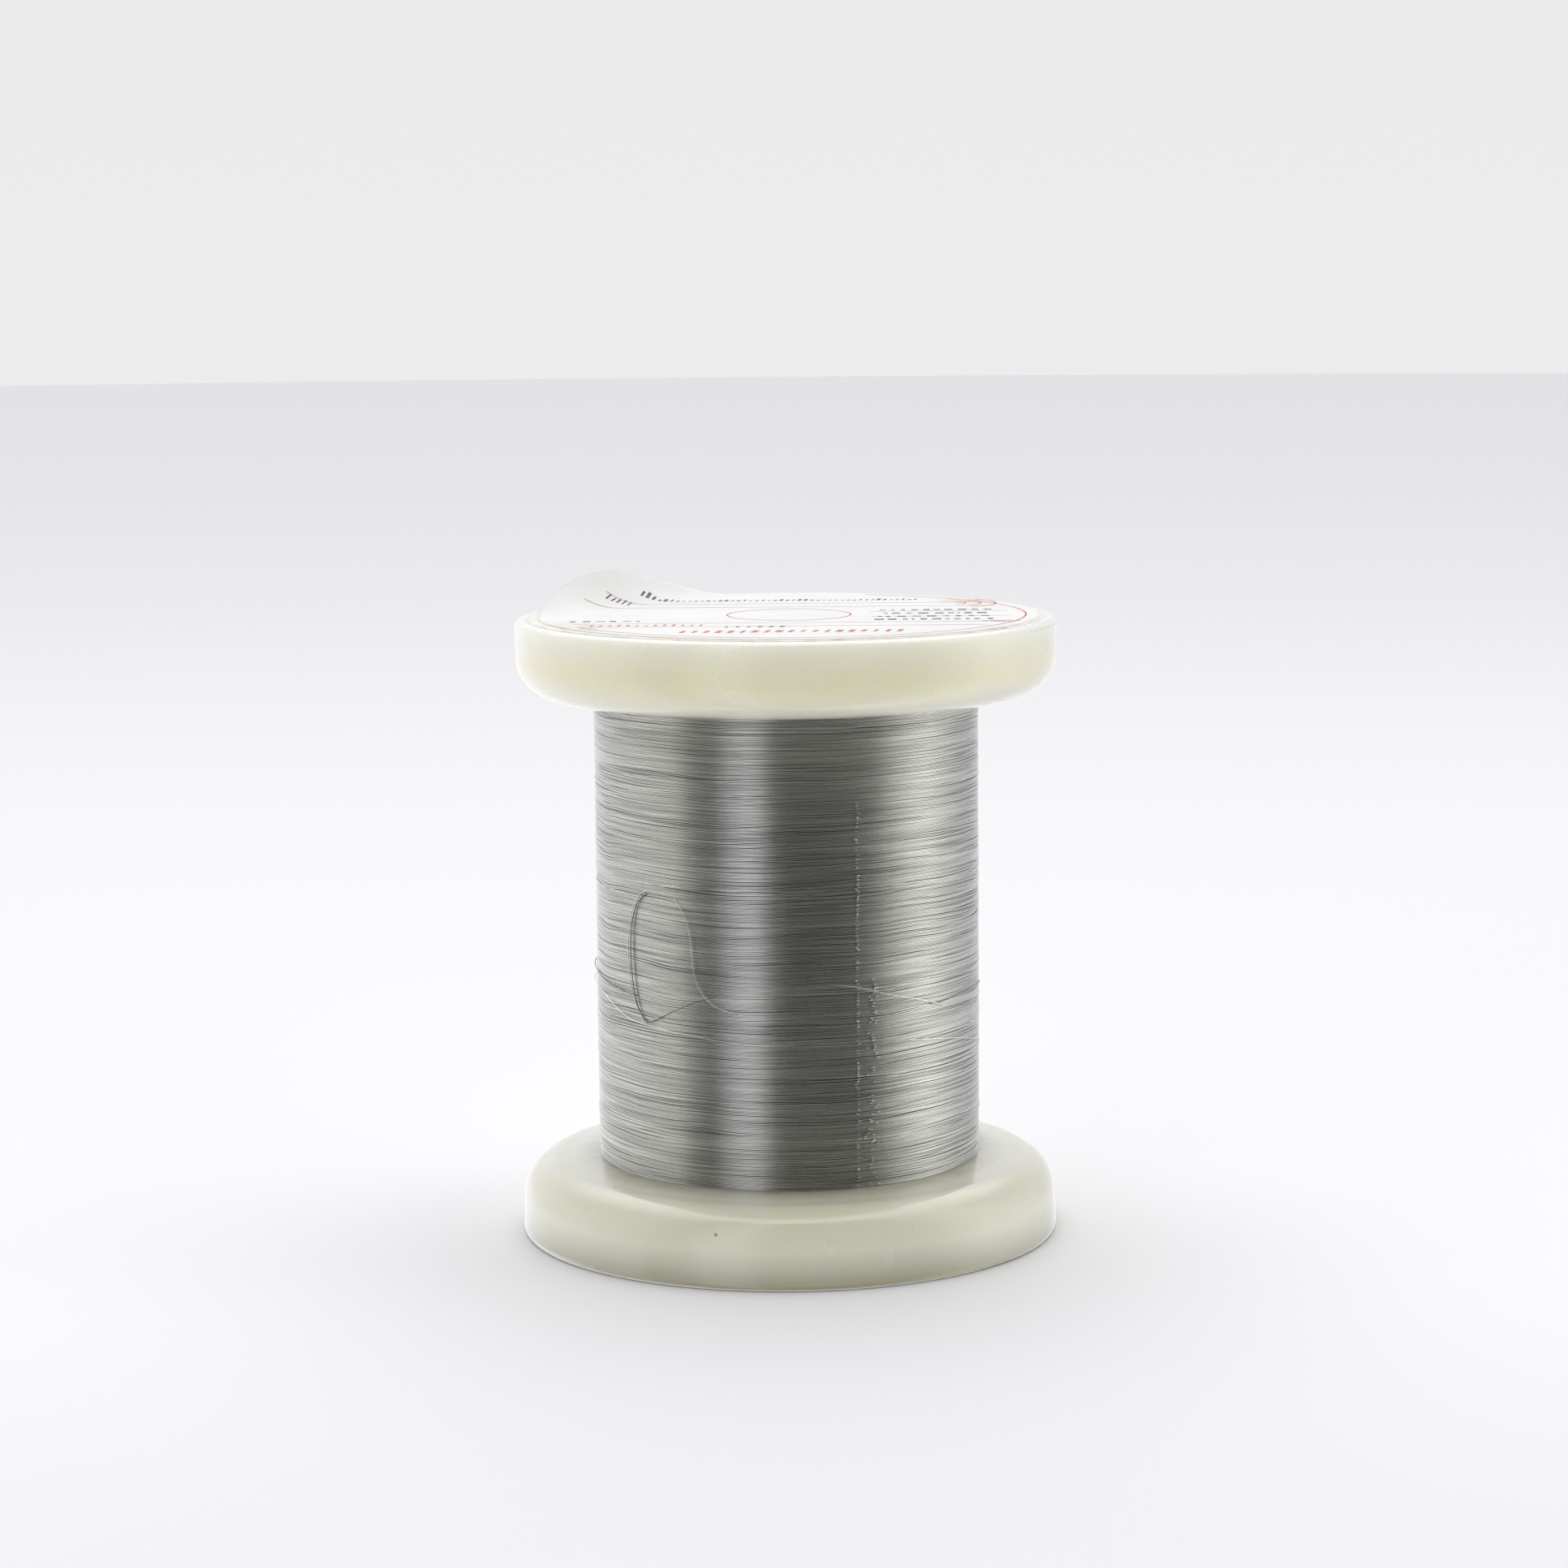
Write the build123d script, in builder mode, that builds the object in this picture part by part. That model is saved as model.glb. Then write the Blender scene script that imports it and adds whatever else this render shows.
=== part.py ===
"""Bobbin of fine metal wire: two hollow flanges and their end plates, a barrel on an arbor
tube, the wire wound on it with its loose turns, and a paper label on the upper face.

Millimetres, +Z along the bobbin's axis. The origin is the centre of the lower face.
Places on the winding are given by the angle from the front, -Y, towards +X.
"""

from build123d import *
import os
from math import cos, pi, radians, sin, sqrt, tan

# Overall sizes
flange_d = 70.0
spool_length = 80.4

# Flange mouldings
flange_edge_thickness = 9.45
inner_face_draft = 5.2
rim_draft = 1.5
rim_corner_r = 0.9
inner_rounding_r = 5.0
flange_skin = 2.2
cavity_corner_r = 3.0
hub_wall = 2.6
rib_count = 8
rib_t = 1.6
rib_root = 0.5
spigot_height = 2.5
spigot_wall = 1.8

# End plates
plate_margin = 3.0
plate_t = 2.0
plate_ledge = 1.5

# Arbor tube
bore_d = 16.0
arbor_wall = 2.0
arbor_chamfer = 0.5

# Barrel
barrel_d = 35.0
barrel_wall = 2.0
web_count = 6
web_t = 1.6
web_end_gap = 1.0

# Wire
wire_d = 0.12
winding_depth = 7.4
outer_layers_t = 0.5
lead_angle = 20.0
lead_top_gap = 10.6
lead_bottom_gap = 0.2

# Label and its adhesive
label_margin = 2.5
label_t = 0.12
label_offset = (0.5, 0.6)
flap_direction = 145.0
flap_reach = 7.9
flap_bend_r = 6.0
adhesive_overhang = 0.7
adhesive_t = 0.04

# Clearances
push_fit = 0.05
spigot_fit = 0.1
wire_gap = 0.02

flange_r = flange_d / 2
rim_top_r = flange_r - flange_edge_thickness * tan(radians(rim_draft))
barrel_r = barrel_d / 2
bore_r = bore_d / 2
wire_r = wire_d / 2
arbor_r = bore_r + arbor_wall
barrel_bore_r = barrel_r - barrel_wall
spigot_r = barrel_bore_r - spigot_fit
hub_hole_r = arbor_r + push_fit
hub_r = hub_hole_r + hub_wall
plate_r = flange_r - plate_margin
cavity_r = plate_r - plate_ledge
winding_r = barrel_r + winding_depth
layers_r = winding_r - outer_layers_t
label_r = flange_r - label_margin


def face_height(radius):
    """Height of the lower flange's inner face at a distance from the axis."""
    return flange_edge_thickness + (flange_r - radius) * tan(radians(inner_face_draft))


seat_height = face_height(barrel_r)
lead_bottom = face_height(layers_r) + lead_bottom_gap
lead_top = spool_length - face_height(layers_r) - lead_top_gap


def keep(piece, name):
    """Labels a finished piece and writes it under its own name."""
    piece.part.label = name
    export_step(piece.part, f"parts/{name}.step")


def corner_radii(points):
    """Radius of each corner's arc: 0.45 of the shorter run over the tangent of half the turn."""
    radii = []
    for before, corner, after in zip(points, points[1:], points[2:]):
        run_in = corner - before
        run_out = after - corner
        half_turn = radians(run_in.get_angle(run_out)) / 2
        radii.append(0.45 * min(run_in.length, run_out.length) / tan(half_turn))
    return radii


def loose_wire(name, stations):
    """A stretch of loose wire over the winding, through (angle, height, lift off the surface)."""
    points = []
    for angle, height, lift in stations:
        radius = winding_r + wire_r + lift
        points.append(Vector(radius * sin(radians(angle)), -radius * cos(radians(angle)), height))
    radii = corner_radii(points)
    with BuildPart() as wire:
        with BuildLine() as route:
            FilletPolyline(*points, radius=radii)
        with BuildSketch(Plane(origin=route.line @ 0, z_dir=route.line % 0)):
            Circle(wire_r)
        sweep(path=route.line)
    swept = route.wires()[0].length * pi * wire_r**2
    print(name, "least arc", round(min(radii), 2), "volume", round(wire.part.volume / swept, 4))
    keep(wire, name)


def upside_down(name, lower):
    """The upper end's copy of a lower piece, mirrored about the bobbin's middle."""
    with BuildPart() as upper:
        mirror(lower.part, about=Plane.XY.offset(spool_length / 2))
    keep(upper, name)


def traverse_outline(inner_r, outer_r):
    """Corners of a body of wound wire that fills the traverse between two radii."""
    return [
        (inner_r, face_height(inner_r)),
        (outer_r, face_height(outer_r)),
        (outer_r, spool_length - face_height(outer_r)),
        (inner_r, spool_length - face_height(inner_r)),
    ]


os.makedirs("parts", exist_ok=True)

# Flanges: hollow mouldings, open at the outer face, each with a hub, ribs and a spigot
with BuildPart() as flange_lower:
    with BuildSketch(Plane.XZ) as flange_profile:
        with BuildLine():
            Polyline(
                (hub_hole_r, 0),
                (flange_r, 0),
                (rim_top_r, flange_edge_thickness),
                (barrel_r, seat_height),
                (spigot_r, seat_height),
                (spigot_r, seat_height + spigot_height),
                (spigot_r - spigot_wall, seat_height + spigot_height),
                (spigot_r - spigot_wall, seat_height),
                (hub_hole_r, seat_height),
                close=True,
            )
        make_face()
        outer_corner = flange_profile.vertices().sort_by_distance((flange_r, 0))[0]
        fillet(outer_corner, rim_corner_r)
        inner_corner = flange_profile.vertices().sort_by_distance((rim_top_r, flange_edge_thickness))[0]
        fillet(inner_corner, inner_rounding_r)
    revolve(axis=Axis.Z)
    with BuildSketch(Plane.XY):
        Circle(plate_r + push_fit)
    extrude(amount=plate_t, mode=Mode.SUBTRACT)
    cavity_top = face_height(cavity_r) - flange_skin
    with BuildSketch(Plane.XZ) as cavity_profile:
        with BuildLine():
            Polyline(
                (hub_r, plate_t),
                (cavity_r, plate_t),
                (cavity_r, cavity_top),
                (hub_r, cavity_top),
                close=True,
            )
        make_face()
        cavity_corner = cavity_profile.vertices().sort_by_distance((cavity_r, cavity_top))[0]
        fillet(cavity_corner, cavity_corner_r)
    revolve(axis=Axis.Z, mode=Mode.SUBTRACT)
    with BuildSketch(Plane.XY.offset(plate_t)):
        with PolarLocations((cavity_r + hub_r) / 2, rib_count):
            Rectangle(cavity_r - hub_r + 2 * rib_root, rib_t)
    extrude(amount=cavity_top - plate_t + rib_root)
keep(flange_lower, "flange_lower")
upside_down("flange_upper", flange_lower)

# End plates: discs that close the hollow flanges, flush with their outer faces
with BuildPart() as end_plate_lower:
    with BuildSketch(Plane.XY):
        Circle(plate_r)
        Circle(hub_hole_r, mode=Mode.SUBTRACT)
    extrude(amount=plate_t)
keep(end_plate_lower, "end_plate_lower")
upside_down("end_plate_upper", end_plate_lower)

# Arbor tube: the bore for a spindle, through both flanges and both end plates
with BuildPart() as arbor_tube:
    with BuildSketch(Plane.XY):
        Circle(arbor_r)
        Circle(bore_r, mode=Mode.SUBTRACT)
    extrude(amount=spool_length)
    end_faces = arbor_tube.faces().filter_by(Plane.XY)
    chamfer([face.inner_wires()[0].edges()[0] for face in end_faces], arbor_chamfer)
keep(arbor_tube, "arbor_tube")

# Barrel: the drum between the flanges, centred on their spigots, with webs to the arbor tube
with BuildPart() as barrel:
    with BuildSketch(Plane.XY.offset(seat_height)):
        Circle(barrel_r)
        Circle(barrel_bore_r, mode=Mode.SUBTRACT)
    extrude(amount=spool_length - 2 * seat_height)
    web_start = seat_height + spigot_height + web_end_gap
    with BuildSketch(Plane.XY.offset(web_start)):
        with PolarLocations((barrel_bore_r + arbor_r) / 2, web_count):
            Rectangle(barrel_bore_r - arbor_r + 2 * rib_root, web_t)
        Circle(arbor_r + push_fit, mode=Mode.SUBTRACT)
    extrude(amount=spool_length - 2 * web_start)
keep(barrel, "barrel")

# Wound wire: the inner layers fill the traverse, and the outer layers go over the lead
with BuildPart() as winding_inner_layers:
    with BuildSketch(Plane.XZ):
        with BuildLine():
            Polyline(*traverse_outline(barrel_r, layers_r), close=True)
        make_face()
    revolve(axis=Axis.Z)
keep(winding_inner_layers, "winding_inner_layers")

lead_r = layers_r + wire_r
lead_point = (lead_r * sin(radians(lead_angle)), -lead_r * cos(radians(lead_angle)))
with BuildPart() as winding_outer_layers:
    with BuildSketch(Plane.XZ):
        with BuildLine():
            Polyline(*traverse_outline(layers_r, winding_r), close=True)
        make_face()
    revolve(axis=Axis.Z)
    with BuildSketch(Plane.XY.offset(lead_bottom - wire_gap)):
        with Locations(lead_point):
            Rectangle(wire_d + 2 * wire_gap, wire_d + 2 * wire_gap, rotation=lead_angle)
    extrude(amount=lead_top - lead_bottom + 2 * wire_gap, mode=Mode.SUBTRACT)
keep(winding_outer_layers, "winding_outer_layers")

# Crossover lead: a straight stretch of wire along the inner layers
with BuildPart() as crossover_lead:
    with BuildSketch(Plane.XY.offset(lead_bottom)):
        with Locations(lead_point):
            Circle(wire_r)
    extrude(amount=lead_top - lead_bottom)
keep(crossover_lead, "crossover_lead")

# Loose wire: each stretch comes out of the outer layers and goes back into them
loose_wire("loose_end_loop", [
    (-39.5, 47.9, -0.3), (-44.5, 47.1, 0.15), (-48.6, 46.0, 0.4), (-51.0, 44.3, 0.5),
    (-52.1, 42.0, 0.55), (-52.4, 39.4, 0.6), (-52.0, 36.8, 0.6), (-50.9, 34.3, 0.55),
    (-49.1, 32.1, 0.5), (-46.0, 30.5, 0.45), (-42.2, 31.0, 0.35), (-38.4, 31.9, 0.25),
    (-34.2, 32.8, 0.15), (-29.7, 33.7, 0.1), (-25.0, 34.4, 0.1), (-20.0, 35.1, 0.1),
    (-15.2, 35.7, -0.3),
])
loose_wire("loose_inner_arc", [
    (-36.4, 47.7, -0.3), (-33.2, 46.4, 0.15), (-31.0, 44.9, 0.3), (-29.7, 43.0, 0.4),
    (-29.1, 41.0, 0.45), (-28.9, 38.9, 0.45), (-28.1, 36.9, 0.45), (-26.3, 35.3, 0.45),
    (-23.2, 34.0, 0.4), (-19.4, 33.2, 0.25), (-15.4, 32.9, 0.12), (-11.2, 32.5, -0.3),
])
loose_wire("loose_turn_left_upper", [
    (-97.0, 35.9, -0.3), (-91.0, 35.6, 0.3), (-84.5, 35.2, 0.25), (-78.2, 35.0, 0.15),
    (-72.0, 34.6, 0.12), (-65.8, 34.3, 0.12), (-59.0, 34.1, 0.12), (-52.0, 33.8, 0.12),
    (-46.0, 33.7, -0.3),
])
loose_wire("loose_turn_left_lower", [
    (-96.0, 34.2, -0.3), (-89.5, 33.7, 0.35), (-82.0, 33.2, 0.25), (-74.5, 33.0, 0.15),
    (-67.5, 32.4, 0.12), (-61.5, 31.5, 0.12), (-55.0, 30.7, 0.12), (-48.5, 30.3, 0.12),
    (-42.0, 30.2, 0.12), (-35.0, 29.9, 0.12), (-28.0, 29.7, 0.12), (-21.0, 29.3, 0.12),
    (-14.0, 29.1, 0.12), (-7.5, 28.9, 0.12), (-1.0, 29.0, 0.12), (5.5, 29.0, -0.3),
])
loose_wire("loose_turn_right_upper", [
    (9.0, 36.8, -0.3), (14.6, 36.4, 0.12), (19.8, 36.1, 0.15), (25.0, 35.4, 0.2),
    (30.6, 34.7, 0.25), (37.2, 34.0, 0.25), (43.8, 33.3, 0.25), (50.5, 32.3, 0.15),
    (57.0, 31.7, -0.3),
])
loose_wire("loose_turn_right_middle", [
    (40.5, 33.1, -0.3), (46.5, 32.6, 0.1), (53.0, 32.7, 0.12), (60.0, 33.1, 0.12),
    (67.5, 33.0, 0.12), (75.5, 33.1, 0.15), (84.0, 32.8, 0.25), (92.0, 32.5, -0.3),
])
loose_wire("loose_turn_right_lower", [
    (32.0, 28.8, -0.3), (38.0, 28.5, 0.12), (44.0, 28.3, 0.12), (51.0, 27.9, 0.12),
    (59.0, 27.4, 0.12), (68.0, 26.6, 0.12), (77.5, 25.8, 0.15), (87.0, 24.9, 0.25),
    (94.0, 24.4, -0.3),
])

# Adhesive: a thin film left on the upper face, a little wider than the label
with BuildPart() as label_adhesive:
    with BuildSketch(Plane.XY.offset(spool_length)):
        Circle(label_r + adhesive_overhang)
    extrude(amount=adhesive_t)
keep(label_adhesive, "label_adhesive")

# Label: a paper disc, flat but for one edge that is bent up along a chord
label_height = spool_length + adhesive_t
across = (cos(radians(flap_direction)), sin(radians(flap_direction)), 0)
along = (sin(radians(flap_direction)), -cos(radians(flap_direction)), 0)
fold = label_r - flap_reach
bend = flap_reach / flap_bend_r
tip = fold + flap_bend_r * sin(bend)
chord = sqrt(label_r**2 - fold**2)
with BuildPart() as label:
    with BuildSketch(Plane(origin=(*label_offset, label_height), x_dir=across, z_dir=along)):
        with BuildLine():
            Line((-label_r, label_t), (-label_r, 0))
            Line((-label_r, 0), (fold, 0))
            CenterArc((fold, flap_bend_r), flap_bend_r, -90, bend * 180 / pi)
            top_r = flap_bend_r - label_t
            Line((tip, flap_bend_r * (1 - cos(bend))),
                 (fold + top_r * sin(bend), flap_bend_r - top_r * cos(bend)))
            CenterArc((fold, flap_bend_r), top_r, -90, bend * 180 / pi)
            Line((fold, label_t), (-label_r, label_t))
        make_face()
    extrude(amount=label_r, both=True)
    with BuildSketch(Plane(origin=(*label_offset, label_height), x_dir=across, z_dir=(0, 0, 1))):
        with BuildLine():
            ThreePointArc((fold, chord), (-label_r, 0), (fold, -chord))
            ThreePointArc((fold, -chord), (tip, 0), (fold, chord))
        make_face()
    extrude(amount=flap_reach, mode=Mode.INTERSECT)
keep(label, "label")
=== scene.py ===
"""Looks of the fine-wire bobbin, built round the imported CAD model. Metres, in the CAD's own frame.

Angles round the bobbin are measured from -Y, the front, towards +X, in degrees.
"""
import math
import random

import bpy
import numpy as np
from mathutils import Matrix, Vector, noise


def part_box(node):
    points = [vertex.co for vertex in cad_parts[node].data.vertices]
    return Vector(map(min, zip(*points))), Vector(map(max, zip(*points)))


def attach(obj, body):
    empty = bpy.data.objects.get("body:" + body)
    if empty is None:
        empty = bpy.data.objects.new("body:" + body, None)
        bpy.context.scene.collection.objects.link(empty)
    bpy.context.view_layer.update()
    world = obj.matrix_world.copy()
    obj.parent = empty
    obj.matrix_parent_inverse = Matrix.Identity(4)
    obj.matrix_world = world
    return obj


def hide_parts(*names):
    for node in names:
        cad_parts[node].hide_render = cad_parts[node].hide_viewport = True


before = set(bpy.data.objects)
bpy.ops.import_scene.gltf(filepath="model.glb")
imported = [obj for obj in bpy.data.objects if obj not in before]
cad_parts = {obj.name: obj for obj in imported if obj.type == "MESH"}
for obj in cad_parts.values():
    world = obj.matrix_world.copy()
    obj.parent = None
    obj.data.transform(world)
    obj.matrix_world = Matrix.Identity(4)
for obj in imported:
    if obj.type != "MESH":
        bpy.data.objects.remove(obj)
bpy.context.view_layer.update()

MM = 0.001
WIRE_R = 0.06 * MM
LEAD_ANGLE = 20.0

winding_low, winding_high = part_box("winding_outer_layers")
WINDING_R = winding_high[0]
WINDING_BOTTOM = winding_low[2]
WINDING_TOP = winding_high[2]
INNER_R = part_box("winding_inner_layers")[1][0]
LEAD_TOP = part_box("crossover_lead")[1][2]
ADHESIVE_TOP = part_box("label_adhesive")[1][2]

# Brown of dirt, also used as painted shade on the plastic beside the wire.
DIRT_AND_SHADE = (0.32, 0.27, 0.17)
SPECK = (0.16, 0.13, 0.09)


# ---------------------------------------------------------------- nodes and materials

def node(tree, kind, inputs=(), **attributes):
    """Adds a shader node. inputs maps a socket's name or index to a value or to another socket."""
    made = tree.nodes.new("ShaderNode" + kind)
    for name, value in attributes.items():
        setattr(made, name, value)
    for name, value in dict(inputs).items():
        if isinstance(value, bpy.types.NodeSocket):
            tree.links.new(value, made.inputs[name])
        else:
            made.inputs[name].default_value = value
    return made


def calculate(tree, operation, *values):
    """The output of a Math node."""
    return node(tree, "Math", dict(enumerate(values)), operation=operation).outputs[0]


def ramp(tree, factor, stops):
    """The colour output of a Color Ramp through (position, colour) stops."""
    made = node(tree, "ValToRGB", {0: factor})
    band = made.color_ramp
    while len(band.elements) < len(stops):
        band.elements.new(1.0)
    for element, (position, colour) in zip(band.elements, stops):
        element.position = position
        element.color = (*colour, 1.0)
    return made.outputs[0]


def grain(tree, scale, detail=3.0, stretch=(1.0, 1.0, 1.0), roughness=0.5):
    """A noise texture in object space. scale is in features per metre."""
    place = node(tree, "TexCoord").outputs["Object"]
    placed = node(tree, "Mapping", {"Vector": place, "Scale": stretch})
    made = node(tree, "TexNoise", {"Vector": placed.outputs[0], "Scale": scale, "Detail": detail,
                                   "Roughness": roughness})
    return made.outputs[0]


def between(tree, value, low, high, to_low=0.0, to_high=1.0):
    """value mapped from low..high to to_low..to_high, clamped."""
    return node(tree, "MapRange", {0: value, 1: low, 2: high, 3: to_low, 4: to_high}).outputs[0]


def blend_colours(tree, factor, first, second, mode="MIX"):
    """The output of a colour Mix node. Colours and the factor are sockets or plain values."""
    made = node(tree, "Mix", data_type="RGBA", blend_type=mode)
    for name, value in (("Factor", factor), ("A", first), ("B", second)):
        socket = next(s for s in made.inputs if s.name == name and s.enabled)
        if isinstance(value, bpy.types.NodeSocket):
            tree.links.new(value, socket)
        elif name == "Factor":
            socket.default_value = value
        else:
            socket.default_value = (*value, 1.0)
    return next(s for s in made.outputs if s.enabled)


def bump(tree, bsdf, *layers):
    """Stacks bump layers of (height socket, strength, depth in metres) on the shader."""
    normal = None
    for height, strength, depth in layers:
        inputs = {"Height": height, "Strength": strength, "Distance": depth}
        if normal:
            inputs["Normal"] = normal
        normal = node(tree, "Bump", inputs).outputs[0]
    tree.links.new(normal, bsdf.inputs["Normal"])


def new_material(name, **values):
    """A material with a Principled shader. Underscores in value names stand for spaces."""
    material = bpy.data.materials.new(name)
    material.use_nodes = True
    tree = material.node_tree
    bsdf = tree.nodes["Principled BSDF"]
    for key, value in values.items():
        bsdf.inputs[key.replace("_", " ")].default_value = value
    return material, tree, bsdf


def paint(tree, bsdf, colour):
    """Links a colour to the shader."""
    tree.links.new(colour, bsdf.inputs["Base Color"])


def uneven_gloss(tree, bsdf, texture, smoothest, roughest):
    """Lets the roughness follow a noise texture, whose values are mostly between 0.3 and 0.7."""
    tree.links.new(between(tree, texture, 0.3, 0.7, smoothest, roughest), bsdf.inputs["Roughness"])


def colour_with_painted_light(tree, height, flange, core, edge, foot):
    """Plastic colour with painted light: deeper in the rim's middle, lighter and paler towards its edges as
    if lit through the thin plastic, and the foot's colour low down.
    """
    low, high = (corner[2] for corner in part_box(flange))
    # The darkest band lies 1.8 mm above the flange's middle, so the part below it is painted lighter, as if
    # lit from below.
    darkest_height = (low + high) / 2 + 1.8 * MM
    half_thickness = (high - low) / 2
    off_darkest_height = calculate(tree, "ABSOLUTE", calculate(tree, "SUBTRACT", height, darkest_height))
    toward_lit_edge = between(tree, off_darkest_height, 0.3 * MM, 0.9 * half_thickness)
    centred = calculate(tree, "SUBTRACT", toward_lit_edge, 0.06)
    shade = calculate(tree, "MULTIPLY_ADD", grain(tree, 45), 0.12, centred)
    above = ramp(tree, shade, [(0.0, core), (1.0, edge)])
    # The lowest 5 mm take the foot colour: painted shade on the lower flange beside the floor, and painted
    # light on the upper flange's lower rounding.
    return blend_colours(tree, between(tree, height, low + 5.0 * MM, low + 0.5 * MM), above, foot)


def dirt_and_shade_beside_wire(tree, x, y, soiling_and_shade):
    """How dirty the plastic is: a trace all over, and close to the wire more, which is dirt and painted shade
    together.
    """
    x_squared = calculate(tree, "POWER", x, 2.0)
    y_squared = calculate(tree, "POWER", y, 2.0)
    radius = calculate(tree, "SQRT", calculate(tree, "ADD", x_squared, y_squared))
    beside_wire = between(tree, radius, WINDING_R + 3.5 * MM, WINDING_R)
    patches = between(tree, grain(tree, 140, detail=8, roughness=0.7), 0.15, 0.6)
    amount = calculate(tree, "MULTIPLY_ADD", beside_wire, soiling_and_shade, 0.04)
    return calculate(tree, "MULTIPLY", patches, amount)


def specks(tree, place, clean_cells):
    """Small round specks, each in the middle of a cell. clean_cells is the share of cells with none."""
    cells = node(tree, "TexVoronoi", {"Vector": place, "Scale": 330.0})
    near = between(tree, cells.outputs["Distance"], 0.09, 0.06)
    chosen = node(tree, "SeparateXYZ", {0: cells.outputs["Color"]}).outputs[0]
    rare = between(tree, chosen, clean_cells, clean_cells + 0.005)
    return calculate(tree, "MULTIPLY", calculate(tree, "MULTIPLY", near, rare), 0.7)


def ivory_plastic(name, flange, core, edge, foot, soiling_and_shade, clean_cells):
    """Glossy moulded plastic of a flange, with colours for the rim's middle (core), its edges (painted light)
    and its foot.
    """
    material, tree, bsdf = new_material(
        name, Subsurface_Weight=1.0, Subsurface_Scale=0.003, IOR=1.5,
        Subsurface_Radius=(1.0, 0.85, 0.45), Coat_Weight=0.8, Coat_Roughness=0.08)
    place = node(tree, "TexCoord").outputs["Object"]
    x, y, z = node(tree, "SeparateXYZ", {0: place}).outputs[:3]
    clean = colour_with_painted_light(tree, z, flange, core, edge, foot)
    soiled = blend_colours(tree, dirt_and_shade_beside_wire(tree, x, y, soiling_and_shade), clean, DIRT_AND_SHADE)
    paint(tree, bsdf, blend_colours(tree, specks(tree, place, clean_cells), soiled, SPECK))
    uneven_gloss(tree, bsdf, grain(tree, 160, detail=6), 0.14, 0.28)
    scratches = between(tree, grain(tree, 260, detail=6, stretch=(1.0, 0.25, 3.0)), 0.60, 0.68)
    bump(tree, bsdf, (grain(tree, 700), 0.08, 0.05 * MM), (scratches, 0.1, 0.02 * MM))
    return material


def plain_plastic():
    """The duller plastic of the parts inside, which show only in the bore."""
    material, tree, bsdf = new_material("moulded_core", IOR=1.5)
    paint(tree, bsdf, ramp(tree, grain(tree, 80), [(0.3, (0.74, 0.70, 0.56)), (0.7, (0.80, 0.76, 0.62))]))
    uneven_gloss(tree, bsdf, grain(tree, 300), 0.3, 0.5)
    bump(tree, bsdf, (grain(tree, 1200), 0.12, 0.05 * MM))
    return material


def wire_metal(name, tint, roughness):
    """Bright drawn wire. Its streaks run round the bobbin, and differ from turn to turn."""
    material, tree, bsdf = new_material(name, Metallic=1.0)
    streaks = grain(tree, 70, detail=3, stretch=(1.0, 1.0, 110.0))
    dark, light = (tuple(k * part for part in tint) for k in (0.80, 1.14))
    paint(tree, bsdf, ramp(tree, streaks, [(0.35, dark), (0.65, light)]))
    uneven_gloss(tree, bsdf, streaks, 0.8 * roughness, 1.2 * roughness)
    bump(tree, bsdf, (streaks, 0.1, 0.01 * MM))
    return material


def stain(tree, x, y, reach):
    """How soiled the label is near this point of it, in mm: 1 at the point, 0 at the reach, and broken up."""
    place = node(tree, "TexCoord").outputs["Object"]
    spot = (x * MM, y * MM, ADHESIVE_TOP)
    away = node(tree, "VectorMath", {0: place, 1: spot}, operation="DISTANCE").outputs["Value"]
    patchy = between(tree, grain(tree, 700, detail=6, roughness=0.7), 0.42, 0.6)
    return calculate(tree, "MULTIPLY", between(tree, away, reach * MM, 0.4 * reach * MM), patchy)


def paper():
    """The label's matt paper, soiled at two places of its edge."""
    material, tree, bsdf = new_material("label_paper", Roughness=0.75)
    fibre = grain(tree, 1400, detail=5, stretch=(1.0, 0.6, 1.0))
    clean = ramp(tree, grain(tree, 90, detail=5), [(0.3, (0.83, 0.83, 0.82)), (0.65, (0.88, 0.88, 0.87))])
    soil = calculate(tree, "MAXIMUM", stain(tree, 25.0, 19.5, 6.0), stain(tree, -27.5, -15.5, 7.0))
    paint(tree, bsdf, blend_colours(tree, soil, clean, (0.66, 0.60, 0.44)))
    bump(tree, bsdf, (fibre, 0.3, 0.02 * MM))
    return material


def ink(name, colour):
    """Printed ink, a little worn."""
    material, tree, bsdf = new_material(name, Roughness=0.6)
    faded = tuple(0.75 * part + 0.2 for part in colour)
    paint(tree, bsdf, ramp(tree, grain(tree, 1800, detail=4), [(0.45, colour), (0.75, faded)]))
    bump(tree, bsdf, (grain(tree, 3000), 0.2, 0.01 * MM))
    return material


def dried_adhesive():
    """Yellowed adhesive, patchy in colour and gloss."""
    material, tree, bsdf = new_material("dried_adhesive", IOR=1.48, Coat_Weight=0.2)
    patch = grain(tree, 420, detail=6, roughness=0.65)
    brown, yellow, pale = (0.55, 0.46, 0.26), (0.86, 0.81, 0.62), (0.94, 0.92, 0.84)
    paint(tree, bsdf, ramp(tree, patch, [(0.36, brown), (0.45, yellow), (0.58, pale)]))
    uneven_gloss(tree, bsdf, patch, 0.25, 0.6)
    bump(tree, bsdf, (patch, 0.5, 0.03 * MM))
    return material


# ---------------------------------------------------------------- pieces

def ride_as(piece):
    """Adds a piece to the scene, riding on the bobbin."""
    bpy.context.scene.collection.objects.link(piece)
    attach(piece, "root")
    return piece


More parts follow.
